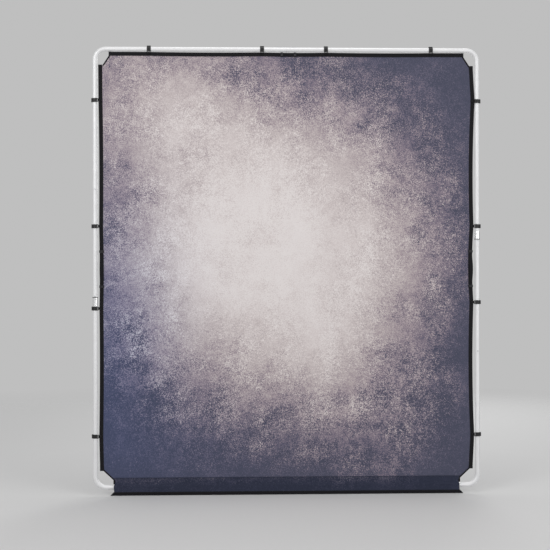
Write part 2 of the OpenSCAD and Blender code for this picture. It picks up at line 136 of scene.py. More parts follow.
def put(socket, value):
    # links another socket, or sets a fixed value
    if isinstance(value, bpy.types.NodeSocket):
        socket.id_data.links.new(value, socket)
    else:
        socket.default_value = value


def setInputs(node, values):
    for key, value in values.items():
        put(node.inputs[key], value)


def mathNode(operation, first, second=None, clamp=False):
    node = first.id_data.nodes.new("ShaderNodeMath")
    node.operation = operation
    node.use_clamp = clamp
    put(node.inputs[0], first)
    if second is not None:
        put(node.inputs[1], second)
    return node.outputs[0]


def plus(a, b, clamp=False):
    return mathNode("ADD", a, b, clamp)


def minus(a, b):
    return mathNode("SUBTRACT", a, b)


def times(a, b):
    return mathNode("MULTIPLY", a, b)


def noiseNode(place, scale, detail=6, roughness=0.6, distortion=0.0, stretch=None):
    nodes = place.id_data.nodes
    if stretch:
        mapping = nodes.new("ShaderNodeMapping")
        setInputs(mapping, dict(Scale=stretch, Vector=place))
        place = mapping.outputs[0]
    node = nodes.new("ShaderNodeTexNoise")
    setInputs(node, dict(Vector=place, Scale=scale, Detail=detail, Roughness=roughness, Distortion=distortion))
    return node.outputs[0]


def rampNode(value, stops):
    node = value.id_data.nodes.new("ShaderNodeValToRGB")
    ramp = node.color_ramp
    while len(ramp.elements) < len(stops):
        ramp.elements.new(0.5)
    for element, (place, colour) in zip(ramp.elements, stops):
        element.position = place
        element.color = (*colour, 1)
    put(node.inputs[0], value)
    return node.outputs[0]


def rangeNode(value, fromLow, fromHigh, toLow, toHigh):
    node = value.id_data.nodes.new("ShaderNodeMapRange")
    setInputs(node, {"Value": value, "From Min": fromLow, "From Max": fromHigh,
                     "To Min": toLow, "To Max": toHigh})
    return node.outputs["Result"]


def bumpNode(shader, height, depth, strength):
    node = height.id_data.nodes.new("ShaderNodeBump")
    setInputs(node, dict(Height=height, Distance=depth, Strength=strength))
    put(shader.inputs["Normal"], node.outputs[0])


def attributeNode(tree, name, output="Fac"):
    node = tree.nodes.new("ShaderNodeAttribute")
    node.attribute_name = name
    return node.outputs[output]


def restPlace(tree):
    # where a point lay when the piece was made, so that patterns stay put as cloth folds
    return attributeNode(tree, "laid", "Vector")


def objectPlace(tree):
    return tree.nodes.new("ShaderNodeTexCoord").outputs["Object"]


def splitPlace(place):
    parts = place.id_data.nodes.new("ShaderNodeSeparateXYZ")
    put(parts.inputs[0], place)
    return parts.outputs


def weaveHeight(place, pitch, across):
    # over and under of a plain weave, as the product of two waves
    parts = splitPlace(place)
    turns = 2 * math.pi / pitch
    return times(mathNode("SINE", times(parts["X"], turns)), mathNode("SINE", times(parts[across], turns)))


def scaled(colour, by):
    return tuple(by * c for c in colour)


def shade(r, g, b):
    # an everyday 0 to 255 colour as the renderer's linear one
    def line(v):
        v /= 255
        return v / 12.92 if v <= 0.04045 else ((v + 0.055) / 1.055) ** 2.4
    return (line(r), line(g), line(b))


# materials

printCloth = dict(
    # from the darkest parts of the print to the lightest
    tones=[(0.0, (67, 69, 86)), (0.12, (84, 83, 101)), (0.28, (115, 105, 119)), (0.43, (142, 130, 138)),
           (0.58, (163, 151, 154)), (0.72, (181, 171, 171)), (0.86, (198, 189, 188)), (1.0, (213, 207, 206))],
    gain=1.12,           # makes up for the light that the cloth doesn't get
    mottle=2.4, crinkle=0.22, curls=0.45, dust=2.0,      # strength of each layer
    # the noise of each layer: scale, detail, roughness, distortion
    mottleNoise=(3.2, 8, 0.92, 0.15), pressedNoise=(5.5, 4, 0.55), crinkleNoise=(48, 4, 0.75, 0.3),
    dustNoise=(210, 1, 0.9), curlNoise=(75, 3, 0.7, 1.2), fuzzNoise=(900, 2, 0.5), stainNoise=(4, 7, 0.65),
    coolCast=(0.84, 0.98, 1.22),
    threadPitch=0.0011, threadDepth=0.00012, roughness=0.82,
)


def makePrint(name, dim=1.0):
    # sponged dye: mottling at every size, thin dark crinkles and pale curls on the bare ground
    mat, tree, shader = newMaterial(name)
    place = restPlace(tree)
    tone = attributeNode(tree, "tone")

    def layer(key):
        return noiseNode(place, *printCloth[key + "Noise"])

    mottle = minus(layer("mottle"), 0.5)
    pressed = rangeNode(layer("pressed"), 0.36, 0.66, 0.45, 1.30)
    rising = rangeNode(tone, 0.01, 0.16, 0.22, 1.0)
    falling = rangeNode(tone, 0.42, 0.95, 1.0, 0.34)
    weight = times(pressed, times(rising, falling))
    # crinkles run where a noise crosses its middle
    ridge = mathNode("ABSOLUTE", minus(layer("crinkle"), 0.5))
    crinkle = rangeNode(ridge, 0.0, 0.055, 1.0, 0.0)
    dust = minus(layer("dust"), 0.5)
    fine = minus(times(dust, printCloth["dust"]), times(crinkle, printCloth["crinkle"]))
    value = plus(times(mottle, printCloth["mottle"]), fine)
    value = plus(tone, times(value, weight))
    curl = times(rangeNode(layer("curl"), 0.58, 0.66, 0, 1), attributeNode(tree, "curls"))
    value = plus(value, times(curl, printCloth["curls"]), clamp=True)
    gain = dim * printCloth["gain"]
    colour = rampNode(value, [(p, scaled(shade(*rgb), gain)) for p, rgb in printCloth["tones"]])
    # a cooler cast where the dye sat longer
    cast = tree.nodes.new("ShaderNodeMix")
    cast.data_type = "RGBA"
    cast.blend_type = "MULTIPLY"
    setInputs(cast, dict(Factor=attributeNode(tree, "cool"), A=colour, B=(*printCloth["coolCast"], 1)))
    weave = weaveHeight(place, printCloth["threadPitch"], "Z")
    fuzz = layer("fuzz")
    bumpNode(shader, plus(weave, fuzz), printCloth["threadDepth"], 0.5)
    rough = rangeNode(fuzz, 0.2, 0.8, printCloth["roughness"] - 0.06, printCloth["roughness"] + 0.08)
    setInputs(shader, {"Base Color": cast.outputs["Result"], "Roughness": rough,
                       "Specular IOR Level": 0.25, "Sheen Weight": 0.04, "Sheen Roughness": 0.5})
    return mat


def makeBackCloth():
    # the unprinted back, with a breath of the print showing through
    mat, tree, shader = newMaterial("unprinted_back")
    place = restPlace(tree)
    weave = weaveHeight(place, printCloth["threadPitch"], "Z")
    stain = noiseNode(place, *printCloth["stainNoise"])
    colour = rampNode(stain, [(0.3, shade(186, 184, 190)), (0.7, shade(205, 203, 205))])
    bumpNode(shader, weave, printCloth["threadDepth"], 0.6)
    slub = noiseNode(place, 1.0, 4, 0.6, stretch=(40, 40, 400))
    setInputs(shader, {"Base Color": colour, "Roughness": rangeNode(slub, 0.3, 0.7, 0.78, 0.92),
                       "Specular IOR Level": 0.2})
    return mat


def makeTape(name, dark, pale, pitch=0.0016, ribs=True):
    # woven tape: ribs across it, a finer twist along it and lint that catches the light, with the weave's
    # shade and highlight painted into its colour
    mat, tree, shader = newMaterial(name)
    place = restPlace(tree)
    weave = weaveHeight(place, pitch, "Y")
    lint = noiseNode(place, 1.0, 6, 0.7, stretch=(160, 420, 160))
    # the weave's height in the colour: painted highlight on the crowns, painted shade where the threads dip
    # under
    tone = plus(times(weave, 0.16), lint)
    colour = rampNode(tone, [(0.30, dark), (0.62, pale), (0.86, scaled(pale, 1.7))])
    height = weave
    if ribs:
        ribTurns = 2 * math.pi / (2.5 * pitch)
        rib = mathNode("SINE", times(splitPlace(place)["X"], ribTurns))
        height = plus(weave, times(rib, 0.8))
    bumpNode(shader, height, 0.00022, 0.7)
    setInputs(shader, {"Base Color": colour, "Roughness": rangeNode(lint, 0.3, 0.75, 0.62, 0.88),
                       "Specular IOR Level": 0.18, "Sheen Weight": 0.02, "Sheen Roughness": 0.4})
    return mat


def makeThread(name, colour):
    mat, tree, shader = newMaterial(name)
    twist = noiseNode(restPlace(tree), 1500, 2, 0.5)
    bumpNode(shader, twist, 0.0001, 0.5)
    setInputs(shader, {"Base Color": rampNode(twist, [(0.3, scaled(colour, 0.6)), (0.7, colour)]),
                       "Roughness": rangeNode(twist, 0.3, 0.7, 0.4, 0.6), "Sheen Weight": 0.1})
    return mat


def makePlastic(name, colour, roughness):
    # moulded nylon: a fine eroded grain, duller where it has been handled
    mat, tree, shader = newMaterial(name)
    place = objectPlace(tree)
    grain = noiseNode(place, 1400, 3, 0.6)
    wear = noiseNode(place, 60, 6, 0.65)
    bumpNode(shader, grain, 0.00006, 0.6)
    setInputs(shader, {"Base Color": rampNode(wear, [(0.35, colour), (0.75, scaled(colour, 2.2))]),
                       "Roughness": rangeNode(wear, 0.3, 0.75, roughness - 0.08, roughness + 0.14),
                       "Specular IOR Level": 0.5})
    return mat


tubeFinish = dict(colour=(0.84, 0.84, 0.85), metal=0.35, roughness=0.46, paintedReflectionStreak=0.06,
                  lineScale=420, lineStretch=1.6)        # lines fine across and long along the tube: drawing lines in the bump, painted reflection streaks in the colour


def makeTube():
    # satin anodised tube: drawing lines along it in the bump, painted reflection streaks along it in the
    # colour, with handling marks and dull spots
    mat, tree, shader = newMaterial("satin_anodised_tube")
    place = objectPlace(tree)
    height = splitPlace(place)["Z"]
    fine, long = tubeFinish["lineScale"], tubeFinish["lineStretch"]
    upright = noiseNode(place, 1.0, 6, 0.7, stretch=(fine, fine, long))
    level = noiseNode(place, 1.0, 6, 0.7, stretch=(long, fine, fine))
    middle = (cadLow.z + cadHigh.z) / 2
    halfTall = cadHigh.z - middle
    fromMiddle = mathNode("ABSOLUTE", minus(height, middle))
    onLevel = rangeNode(fromMiddle, halfTall - 0.09, halfTall - 0.02, 0, 1)
    mix = tree.nodes.new("ShaderNodeMix")
    mix.data_type = "FLOAT"
    setInputs(mix, dict(Factor=onLevel, A=upright, B=level))
    lines = mix.outputs["Result"]
    marks = noiseNode(place, 22, 8, 0.75, 0.3)
    tint = plus(times(lines, 0.7), times(marks, 0.3))
    base, roughness = tubeFinish["colour"], tubeFinish["roughness"]
    # the darker streaks along the tube are painted reflection, mixed with the handling marks
    low = scaled(base, 1 - 3 * tubeFinish["paintedReflectionStreak"])
    bumpNode(shader, lines, 0.00004, 0.35)
    setInputs(shader, {"Base Color": rampNode(tint, [(0.30, low), (0.62, base)]),
                       "Metallic": tubeFinish["metal"],
                       "Roughness": rangeNode(tint, 0.3, 0.7, roughness + 0.1, roughness - 0.06)})
    return mat


def makeSteel(name, colour, roughness):
    mat, tree, shader = newMaterial(name)
    place = objectPlace(tree)
    lines = noiseNode(place, 1.0, 4, 0.6, stretch=(900, 900, 30))
    spots = noiseNode(place, 130, 6, 0.7)
    tone = plus(times(lines, 0.5), times(spots, 0.5))
    bumpNode(shader, lines, 0.00003, 0.4)
    setInputs(shader, {"Base Color": rampNode(tone, [(0.32, scaled(colour, 0.72)), (0.6, colour)]),
                       "Roughness": rangeNode(tone, 0.3, 0.7, roughness + 0.12, roughness - 0.05),
                       "Metallic": 1.0})
    return mat


def makeFloorFinish():
    mat, tree, shader = newMaterial("pale_floor")
    place = objectPlace(tree)
    distance = tree.nodes.new("ShaderNodeVectorMath")
    distance.operation = "LENGTH"
    put(distance.inputs[0], place)
    grain = noiseNode(place, 60, 5, 0.6)
    tone = floor["tone"]
    colour = rampNode(grain, [(0.3, (tone * 0.98,) * 3), (0.7, (tone,) * 3)])
    setInputs(shader, {"Base Color": colour, "Roughness": 0.9, "Specular IOR Level": 0.1})
    clear = tree.nodes.new("ShaderNodeBsdfTransparent")
    mix = tree.nodes.new("ShaderNodeMixShader")
    fade = rangeNode(distance.outputs["Value"], floor["fadeFrom"], floor["fadeTo"], 0, 1)
    for i, socket in enumerate((fade, shader.outputs[0], clear.outputs[0])):
        put(mix.inputs[i], socket)
    put(tree.nodes["Material Output"].inputs[0], mix.outputs[0])
    return mat


makeCamera()
makeLights()
paint = dict(
    printed=makePrint("printed_cloth"),
    skirt=makePrint("printed_skirt_cloth", 0.36),
    back=makeBackCloth(),
    webbing=makeTape("black_webbing", shade(8, 8, 10), shade(24, 23, 27)),
    binding=makeTape("black_binding", shade(10, 10, 13), shade(28, 27, 33), 0.0011, False),
    hem=makeTape("black_hem_tape", shade(6, 6, 9), shade(18, 17, 23), 0.0013, False),
    thread=makeThread("black_thread", shade(32, 31, 36)),
    tube=makeTube(),
    collar=makeSteel("bright_collar", (0.95, 0.95, 0.96), 0.2),
    steel=makeSteel("brushed_steel", (0.72, 0.73, 0.75), 0.3),
    plastic=makePlastic("black_clip_nylon", shade(11, 11, 13), 0.42),
    plug=makePlastic("black_plug_plastic", shade(13, 13, 15), 0.5),
)
print("camera, lights and materials ready")


# mesh tools

def smoothStep(t):
    t = min(1.0, max(0.0, t))
    return t * t * (3 - 2 * t)


def markLaid(mesh, places):
    # where each point lies at rest, for the patterns of the cloth
    attribute = mesh.attributes.new("laid", "FLOAT_VECTOR", "POINT")
    attribute.data.foreach_set("vector", np.array([tuple(p) for p in places], np.float32).ravel())


def newPiece(name, points, faces, material, laid=None):
    mesh = bpy.data.meshes.new(name)
    mesh.from_pydata([tuple(p) for p in points], [], faces)
    mesh.update()
    markLaid(mesh, points if laid is None else laid)
    mesh.materials.append(material)
    mesh.shade_smooth()
    return addObject(name, mesh)


def paintField(obj, name, values):
    attribute = obj.data.attributes.new(name, "FLOAT", "POINT")
    attribute.data.foreach_set("value", np.array(values, np.float32))


def gridFaces(nx, nz):
    wide = nx + 1
    return [(j * wide + i, j * wide + i + 1, (j + 1) * wide + i + 1, (j + 1) * wide + i)
            for j in range(nz) for i in range(nx)]


def loftFaces(rings, size, base=0):
    # rings of points joined into a closed band with two ends
    faces = []
    for i in range(rings - 1):
        a, b = i * size, (i + 1) * size
        for k in range(size):
            n = (k + 1) % size
            faces.append((a + k, a + n, b + n, b + k))
    faces.append(tuple(range(size - 1, -1, -1)))
    faces.append(tuple(range((rings - 1) * size, rings * size)))
    return [tuple(base + k for k in face) for face in faces]


def tapeSection(width, thick, crown=0.0):
    # a flat tape's round-edged outline as (across, up), the across from its outer edge
    r, steps = thick / 2, 3
    outline = []
    for turnAt, start in ((width - r, -90), (r, 90)):
        for i in range(steps + 1):
            a = math.radians(start + 180 * i / steps)
            outline.append((turnAt + r * math.cos(a), r + r * math.sin(a)))
    flat = []
    for i, (a, up) in enumerate(outline):
        flat.append((a, up))
        nextA = outline[(i + 1) % len(outline)][0]
        if abs(nextA - a) > width / 2:      # points along both faces let the tape follow the cloth
            for k in (1, 2, 3):
                t = k / 4
                bulge = crown * math.sin(math.pi * t) * (1 if up > r else 0)
                flat.append((a + (nextA - a) * t, up + bulge))
    return flat


bead = dict(sides=6, rings=((0.0, 0.35), (0.25, 0.95), (0.75, 0.95), (1.0, 0.35)), sunk=0.5)


def beads(name, segments, radius):
    # short stitches: each a slim pointed bead from one point to another, sunk at its ends
    shape = []
    for t, r in bead["rings"]:
        for k in range(bead["sides"]):
            a = math.radians(360 / bead["sides"] * k)
            shape.append((t, r * math.cos(a), r * math.sin(a) - (bead["sunk"] if t in (0.0, 1.0) else 0)))
    shape = np.array(shape)
    segs = np.array(segments, float)
    start, way = segs[:, 0], segs[:, 1] - segs[:, 0]
    unit = way / np.linalg.norm(way, axis=1, keepdims=True)
    out = np.tile(np.array([0.0, -1.0, 0.0]), (len(segs), 1))
    side = np.cross(out, unit)
    side /= np.linalg.norm(side, axis=1, keepdims=True)
    out = np.cross(unit, side)
    points = (start[:, None] + shape[None, :, 0:1] * way[:, None]
              + radius * (shape[None, :, 1:2] * side[:, None] + shape[None, :, 2:3] * out[:, None]))
    faces = []
    for i in range(len(segs)):
        faces += loftFaces(len(bead["rings"]), bead["sides"], i * len(shape))
    return newPiece(name, points.reshape(-1, 3), faces, paint["thread"])


foldReach = 0.045        # the reach that across takes by default


def across(piece, reach=foldReach):
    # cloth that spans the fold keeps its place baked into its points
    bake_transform(piece)


def placeSewn(pieces, body=None):
    # each sewn piece rides on one half, or spans both with its place baked into its points
    for piece in pieces:
        if body:
            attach(piece, body)
        else:
            across(piece)
    return list(pieces)


def islandCentres(name):
    # the middle of each separate solid in a CAD node
    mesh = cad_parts[name].data
    keys = {}
    group = [keys.setdefault(tuple(round(c, 5) for c in v.co), len(keys)) for v in mesh.vertices]
    up = list(range(len(keys)))

    def top(i):
        while up[i] != i:
            up[i] = up[up[i]]
            i = up[i]
        return i

    for edge in mesh.edges:
        up[top(group[edge.vertices[0]])] = top(group[edge.vertices[1]])
    solids = {}
    for key, i in keys.items():
        solids.setdefault(top(i), []).append(key)
    return [Vector((np.min(points, 0) + np.max(points, 0)) / 2) for points in solids.values()]


# the places that the pieces below are worked out from

def joined(*names):
    lows, highs = zip(*[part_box(n) for n in names])
    low = Vector([min(v[i] for v in lows) for i in range(3)])
    high = Vector([max(v[i] for v in highs) for i in range(3)])
    return low, high


coverLow, coverHigh = joined("cover_left", "cover_right")
tubeLow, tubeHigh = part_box("right_middle_tube")
tubeR = (tubeHigh.x - tubeLow.x) / 2
tubeX = (tubeHigh.x + tubeLow.x) / 2
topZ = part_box("right_upper_tube")[1].z - tubeR
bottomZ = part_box("right_lower_tube")[0].z + tubeR
sideLow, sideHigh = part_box("right_webbing")
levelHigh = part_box("top_webbing_right")[1]
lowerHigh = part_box("bottom_webbing_right")[1]
skirtLow, skirtHigh = joined("skirt_left", "skirt_right")
hemLow, hemHigh = joined("hem_left", "hem_right")
halfWide = coverHigh.x
borderWide = sideHigh.x - sideLow.x
coverThick, coverTall = coverHigh.y - coverLow.y, coverHigh.z - coverLow.z
skirtTall = skirtHigh.z - skirtLow.z
cut = dict(
    topWide=halfWide - levelHigh.x, topTall=coverHigh.z - sideHigh.z,
    bottomWide=halfWide - lowerHigh.x, bottomTall=sideLow.z - coverLow.z,
)
sideClips = {side: sorted(c.z for c in islandCentres(word + "_side_clips")) for word, side in sides}
topClips = sorted(c.x for word, _ in sides for c in islandCentres(word + "_top_clips"))
bottomClips = sorted(c.x for word, _ in sides for c in islandCentres(word + "_bottom_clips"))
print("clips at", [round(z, 3) for z in sideClips[-1]], [round(x, 3) for x in topClips])


# printed cover

cover = dict(
    cell=0.012,
    # how far each side edge stands out at its lower end, its four clips and its upper end
    pull={-1: [-3 * mm, 1 * mm, -1 * mm, 0, 2 * mm, 3 * mm], 1: [-6 * mm, 3 * mm, 0, 1 * mm, 8 * mm, -2 * mm]},
    sag={-1: 2.5 * mm, 1: 7 * mm},          # how deep a side edge hangs in between clips
    topSag=2 * mm,
    swell=2.4 * mm,                         # the slow waves of the stretched cloth
    wrinkle=0.7 * mm,
    # where the print is light and dark: x, z, half width, half height, amount
    patches=[(-0.12, 1.30, 0.84, 0.86, 1.0), (-0.80, 2.10, 0.52, 0.40, 0.46), (0.42, 0.58, 0.42, 0.42, 0.30),
             (0.60, 1.20, 0.25, 0.40, 0.14), (0.62, 0.78, 0.36, 0.22, -0.15)],
    cool=[(-0.97, 0.70, 0.36, 0.75, 1.0), (-0.60, 0.20, 0.45, 0.25, 0.3)],
    curls=[(0.86, 1.35, 0.16, 0.48, 1.0), (0.80, 0.55, 0.20, 0.40, 0.35), (-0.80, 0.50, 0.20, 0.50, 0.3),
           (0.0, 0.16, 1.2, 0.16, 0.35), (0.55, 1.95, 0.50, 0.30, 0.3)],
)


def hang(knots, values, sag, at):
    # an edge held at knots and drawn in between them
    at = min(max(at, knots[0]), knots[-1])
    for i in range(len(knots) - 1):
        if at <= knots[i + 1]:
            t = (at - knots[i]) / (knots[i + 1] - knots[i])
            drop = sag * 4 * t * (1 - t) if 0 < i < len(knots) - 2 else 0
            return values[i] + (values[i + 1] - values[i]) * t - drop
    return values[-1]


def sideEdge(side, z):
    knots = [sideLow.z] + sideClips[side] + [sideHigh.z]
    return side * (halfWide + hang(knots, cover["pull"][side], cover["sag"][side], z))


def topEdge(x):
    knots = [-levelHigh.x] + topClips + [levelHigh.x]
    return coverHigh.z + hang(knots, [0] * len(knots), cover["topSag"], x)


def clothY(x, z):
    # front of the cloth: it lies level at the clips and sinks back a little between them
    slow = 0.5 + 0.5 * noise.noise(Vector((x * 1.7, 3.1, z * 1.3)))
    edge = min(halfWide - abs(x), coverHigh.z - z, z - coverLow.z)
    fine = noise.noise(Vector((x * 16, 7.7, z * 2.2))) * math.exp(-max(0, coverHigh.z - z) / 0.35)
    fine += noise.noise(Vector((x * 2.4, 1.9, z * 15))) * math.exp(-max(0, halfWide - abs(x)) / 0.25)
    settle = smoothStep(edge / 0.10)
    return coverLow.y + settle * cover["swell"] * slow + cover["wrinkle"] * (0.5 + 0.5 * fine) * settle


def field(blobs, x, z, power):
    total = 0
    for bx, bz, rx, rz, amount in blobs:
        r = math.hypot((x - bx) / rx, (z - bz) / rz)
        total += amount * math.exp(-r ** power)
    return min(1, max(0.0, total))


def paintPrint(obj, points):
    for name, key, power in (("tone", "patches", 3), ("cool", "cool", 2), ("curls", "curls", 2)):
        paintField(obj, name, [field(cover[key], p[0], p[2], power) for p in points])


def cornerCuts():
    # a point on each slanting edge and the way out of the cloth there
    cuts = []
    for side in (-1, 1):
        for edgeZ, up, wide, tall in ((coverHigh.z, 1, cut["topWide"], cut["topTall"]),
                                      (coverLow.z, -1, cut["bottomWide"], cut["bottomTall"])):
            a = Vector((side * (halfWide - wide), 0, edgeZ - up * borderWide))
            b = Vector((side * (halfWide - borderWide), 0, edgeZ - up * tall))
            run = b - a
            out = Vector((side * abs(run.z), 0, up * abs(run.x))).normalized()
            cuts.append((a, b, out))
    return cuts


def makeCover():
    nx, nz = round(2 * halfWide / cover["cell"]), round(coverTall / cover["cell"])
    points = []
    for j in range(nz + 1):
        level = coverLow.z + coverTall * j / nz
        left, right = sideEdge(-1, level), sideEdge(1, level)
        for i in range(nx + 1):
            x = left + (right - left) * i / nx
            z = coverLow.z + (topEdge(x) - coverLow.z) * j / nz
            points.append(Vector((x, clothY(x, z), z)))
    bm = bmesh.new()
    verts = [bm.verts.new(p) for p in points]
    for f in gridFaces(nx, nz):
        bm.faces.new([verts[i] for i in f])
    for a, b, out in cornerCuts():
        geom = bm.verts[:] + bm.edges[:] + bm.faces[:]
        bmesh.ops.bisect_plane(bm, geom=geom, plane_co=a, plane_no=out, clear_outer=True)
    # a second skin behind the first, and a rim that joins them
    frontFaces = set(bm.faces)
    back = bmesh.ops.duplicate(bm, geom=bm.verts[:] + bm.edges[:] + bm.faces[:])
    backVerts = [v for v in back["geom"] if isinstance(v, bmesh.types.BMVert)]
    bmesh.ops.translate(bm, vec=(0, coverThick, 0), verts=backVerts)
    backFaces = [f for f in back["geom"] if isinstance(f, bmesh.types.BMFace)]
    bmesh.ops.reverse_faces(bm, faces=backFaces)
    for f in backFaces:
        f.material_index = 1
    rims = [e for e in bm.edges if len(e.link_faces) == 1 and e.link_faces[0] in frontFaces]
    twin = back["vert_map"]
    for e in rims:
        a, b = e.verts
        bm.faces.new([b, a, twin[a], twin[b]])
    bmesh.ops.recalc_face_normals(bm, faces=bm.faces[:])
    mesh = bpy.data.meshes.new("printed_cover")
    bm.to_mesh(mesh)
    bm.free()
    mesh.materials.append(paint["printed"])
    mesh.materials.append(paint["back"])
    mesh.shade_smooth()
    obj = addObject("printed_cover", mesh)
    places = [tuple(v.co) for v in mesh.vertices]
    markLaid(mesh, places)
    paintPrint(obj, places)
    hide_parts("cover_left", "cover_right")
    across(obj)
    return obj


printedCover = makeCover()
print("printed cover", len(printedCover.data.vertices), "points")


# border webbing, its folded ends and its stitching

border = dict(
    thick=1.5 * mm, crown=0.15 * mm, step=0.012,
    foldLong=13 * mm, foldThick=1.3 * mm, foldPast=0.4 * mm, foldCrown=0.4 * mm, foldRows=5, foldRowIn=3 * mm,
    stitchStep=4.6 * mm, stitchLong=3.4 * mm, stitchThick=0.38 * mm, stitchIn=2.6 * mm,
    shortStep=3.4 * mm, shortLong=2.6 * mm, lift=0.1 * mm,
)


def onCloth(x, z, lift):
    return Vector((x, clothY(x, z) - lift, z))


def edgeLine(kind, side=0):
    # points along an outer edge of the cover, with the way into the cloth
    if kind == "side":
        count = round((sideHigh.z - sideLow.z) / border["step"])
        levels = [sideLow.z + (sideHigh.z - sideLow.z) * i / count for i in range(count + 1)]
        return [(sideEdge(side, z), z, -side, 0) for z in levels]
    reach = levelHigh.x if kind == "top" else lowerHigh.x
    count = 2 * round(reach / border["step"])
    spots = [-reach + 2 * reach * i / count for i in range(count + 1)]
    if kind == "top":
        return [(x, topEdge(x), 0, -1) for x in spots]
    return [(x, coverLow.z, 0, 1) for x in spots]


def layTape(name, line, width, thick, lift=0.0, shift=0.0, crown=0.0, lifts=None):
    section = tapeSection(width, thick, crown)
    points, laid, run = [], [], 0.0
    for i, (x, z, inX, inZ) in enumerate(line):
        if i:
            run += math.hypot(x - line[i - 1][0], z - line[i - 1][1])
        extra = lifts[i] if lifts else 0.0
        for a, up in section:
            px, pz = x + inX * (a + shift), z + inZ * (a + shift)
            points.append(onCloth(px, pz, lift + extra + up))
            laid.append((run, a, up))
    return newPiece(name, points, loftFaces(len(line), len(section)), paint["webbing"], laid)


def stitchLine(line, inset, lift, step=border["stitchStep"], longPart=border["stitchLong"]):
    # stitch ends along a line, evenly spaced by length
    path = np.array([(x + inX * inset, z + inZ * inset) for x, z, inX, inZ in line])
    runs = np.concatenate([[0], np.cumsum(np.hypot(*np.diff(path, axis=0).T))])
    count = int(runs[-1] // step)
    stitches = []
    for i in range(count):
        a = (i + 0.5) * step - longPart / 2
        ends = [(np.interp(s, runs, path[:, 0]), np.interp(s, runs, path[:, 1])) for s in (a, a + longPart)]
        stitches.append([tuple(onCloth(x, z, lift)) for x, z in ends])
    return stitches


def foldedEnd(name, line, atStart):
    # the last stretch of a tape is turned back on itself
    part = line[:2] if atStart else line[-2:]
    (x1, z1, inX, inZ), (x2, z2, _, _) = part if atStart else part[::-1]
    way = Vector((x2 - x1, z2 - z1)).normalized()
    steps = 5
    short = []
    for i in range(steps + 1):
        at = border["foldLong"] * (i / steps)
        short.append((x1 + way.x * at - way.x * 0.6 * mm, z1 + way.y * at - way.y * 0.6 * mm, inX, inZ))
    past = border["foldPast"]
    return layTape(name, short, borderWide + 2 * past, border["foldThick"],
                   lift=border["thick"] - 0.1 * mm, shift=-past, crown=border["foldCrown"]), short


def makeBorder():
    made = []
    rows = [(word + "_webbing", "side", side, [word + "_webbing"], word + "_half") for word, side in sides]
    rows += [(level + "_webbing", level, 0, [level + "_webbing_left", level + "_webbing_right"], None)
             for level in ("top", "bottom")]
    for name, kind, side, nodes, body in rows:
        line = edgeLine(kind, side)
        tape = layTape(name + "_tape", line, borderWide, border["thick"], crown=border["crown"])
        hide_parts(*nodes)
        ends = [foldedEnd(name + "_" + end + "_fold", line, end == "first") for end in ("first", "last")]
        top = border["thick"] + border["lift"]
        stitches = stitchLine(line, border["stitchIn"], top)
        stitches += stitchLine(line, borderWide - border["stitchIn"], top)
        rowIn = border["foldRowIn"]
        for _, short in ends:
            for inset in np.linspace(rowIn, borderWide - rowIn, border["foldRows"]):
                stitches += stitchLine(short[1:], inset, top + border["foldThick"],
                                       border["shortStep"], border["shortLong"])
        thread = beads(name + "_stitching", stitches, border["stitchThick"])
        made += placeSewn((tape, thread), body)
        made += placeSewn([ends[0][0]], body or "left_half")
        made += placeSewn([ends[1][0]], body or "right_half")
    return made


borderPieces = makeBorder()
print("border webbing", len(borderPieces), "pieces")


# corner bindings: tape folded over the slanting edges

binding = dict(
    wide=6 * mm, wrap=0.8 * mm, steps=12, over=2 * mm, wobble=0.15 * mm,
    stitchIn=1.5 * mm, stitchStep=3.6 * mm, stitchLong=2.6 * mm, stitchThick=0.32 * mm,
)


def makeBinding():
    made = []
    wide, wrap, steps = binding["wide"], binding["wrap"], binding["steps"]
    # a flat loop round the edge: turn at x, face, first and last angle
    turns = ((-wide, 1, 180, 90), (0, 1, 90, 0), (0, -1, 0, -90), (-wide, -1, -90, -180))
    for word, side in sides:
        points, faces, laid, stitches = [], [], [], []
        for a, b, out in cornerCuts():
            if a.x * side < 0:
                continue
            way = (b - a).normalized()
            start, end = a - way * binding["over"], b + way * binding["over"]
            base = len(points)
            outline = []
            for cx, cy, first, last in turns:
                for k in range(4):
                    angle = math.radians(first + (last - first) * k / 3)
                    outline.append((cx + wrap * math.cos(angle), cy * coverThick / 2 + wrap * math.sin(angle)))
            for i in range(steps + 1):
                p = start + (end - start) * i / steps
                for u, v in outline:
                    x, z = p.x + out.x * u, p.z + out.z * u
                    wobble = binding["wobble"] * math.sin(i * 2.1 + u * 900)
                    points.append(Vector((x, clothY(x, z) + coverThick / 2 - v + wobble, z)))
                    laid.append((i * (end - start).length / steps, u, v))
            faces += loftFaces(steps + 1, len(outline), base)
            back = wide - binding["stitchIn"]
            inner = [(p.x - out.x * back, p.z - out.z * back, 0, 0) for p in (start, end)]
            stitches += stitchLine(inner, 0, wrap + 0.05 * mm, binding["stitchStep"], binding["stitchLong"])
        strip = newPiece(word + "_corner_binding_tape", points, faces, paint["binding"], laid)
        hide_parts(word + "_corner_bindings")
        thread = beads(word + "_corner_binding_stitching", stitches, binding["stitchThick"])
        made += placeSewn((strip, thread), word + "_half")
    return made


bindingPieces = makeBinding()
print("corner bindings", len(bindingPieces), "pieces")


# pull loops: flat webbing over the border, tacked down at both ends

loop = dict(
    wide=19 * mm, thick=1.6 * mm, rise=5.5 * mm, bow=4 * mm, tackWide=25 * mm, tackTall=11 * mm,
    threads=9, threadThick=0.8 * mm, tail=9 * mm, steps=40, foldReach=0.025,
    bowShare={-1: 0.25, 1: 1.0},        # how much of the bow each side loop shows
    riseLength=0.2,                     # a loop this long stands off by the full rise
    padRings=(-1.15, -1.0, -0.5, 0, 0.5, 1.0, 1.15), padThick=1.8 * mm,
)


